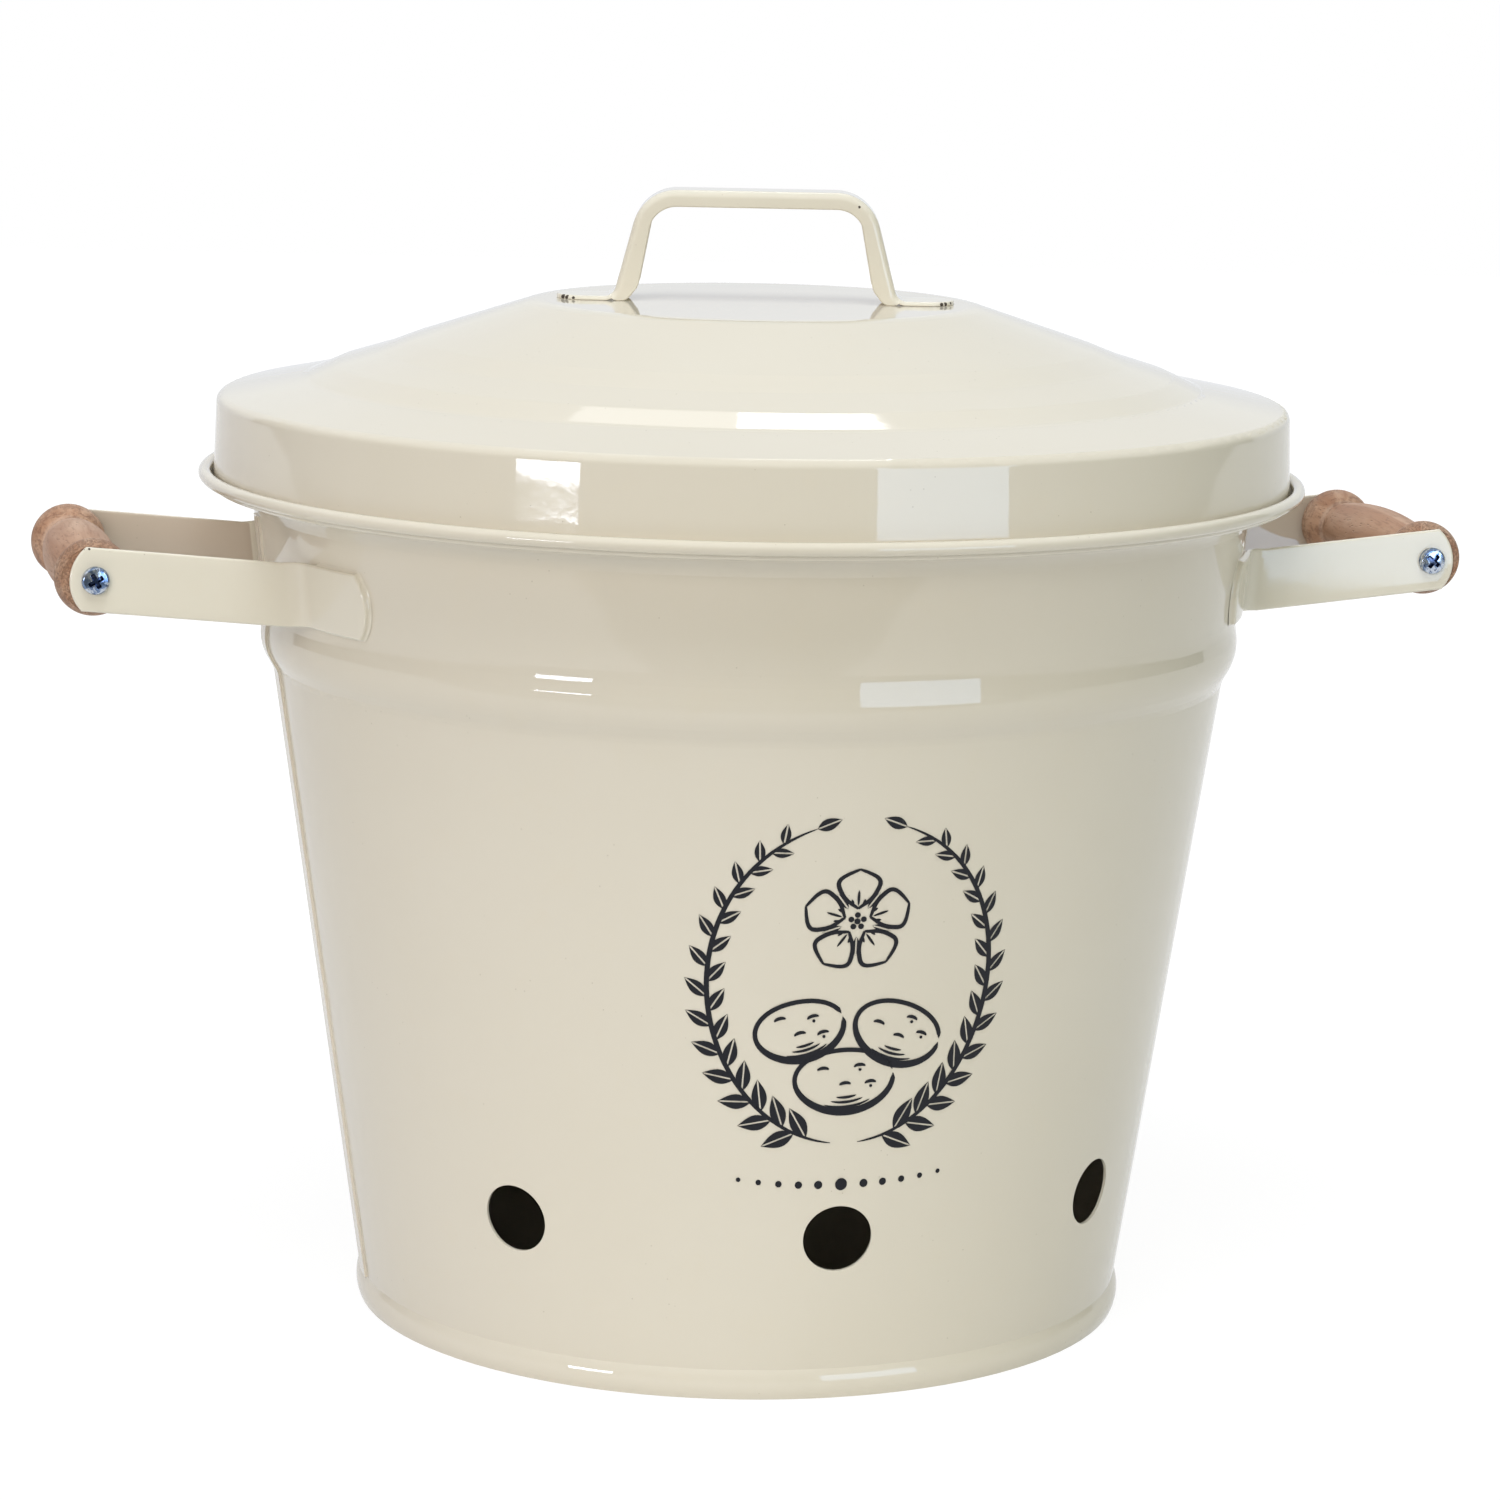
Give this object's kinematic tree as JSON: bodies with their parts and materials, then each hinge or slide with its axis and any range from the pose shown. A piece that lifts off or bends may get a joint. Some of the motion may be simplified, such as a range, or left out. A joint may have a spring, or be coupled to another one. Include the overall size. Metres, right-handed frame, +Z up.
{
  "type": "potato storage bin",
  "caption": "Round painted sheet-metal potato bin with a tapered vented wall, wired rim, stepped lift-off lid with a bar handle, and turned wooden side grips on flat straps.",
  "frame": {"origin": "centre of the circle that the bin stands on, at floor level", "axes": "+Z up, +X through the middle of the right side grip, -Y through the middle front vent"},
  "size_m": [0.4232, 0.33, 0.3362],
  "materials": {
    "bin_enamel": "glossy cream paint on steel sheet",
    "lid_enamel": "glossy cream paint on steel sheet",
    "strap_enamel": "glossy cream paint on flat steel strip",
    "beech": "turned reddish beech, satin oil",
    "zinc_steel": "bright blue-white zinc plating",
    "wire_steel": "plain drawn wire, closed in by the curl"
  },
  "bodies": {
    "bin": {"bin_wall": "bin_enamel", "rim_wire": "wire_steel", "base_pan": "bin_enamel", "left_grip": "beech", "right_grip": "beech", "left_strap_front": "strap_enamel", "left_strap_rear": "strap_enamel", "right_strap_front": "strap_enamel", "right_strap_rear": "strap_enamel", "left_screw_front": "zinc_steel", "left_screw_rear": "zinc_steel", "right_screw_front": "zinc_steel", "right_screw_rear": "zinc_steel"},
    "lid": {"lid_shell": "lid_enamel", "lid_handle": "lid_enamel"}
  },
  "joints": [
    {"name": "lid_lift", "type": "slide", "parent": "bin", "child": "lid", "axis": [0, 0, 1], "range_m": [0, 0.15]}
  ]
}
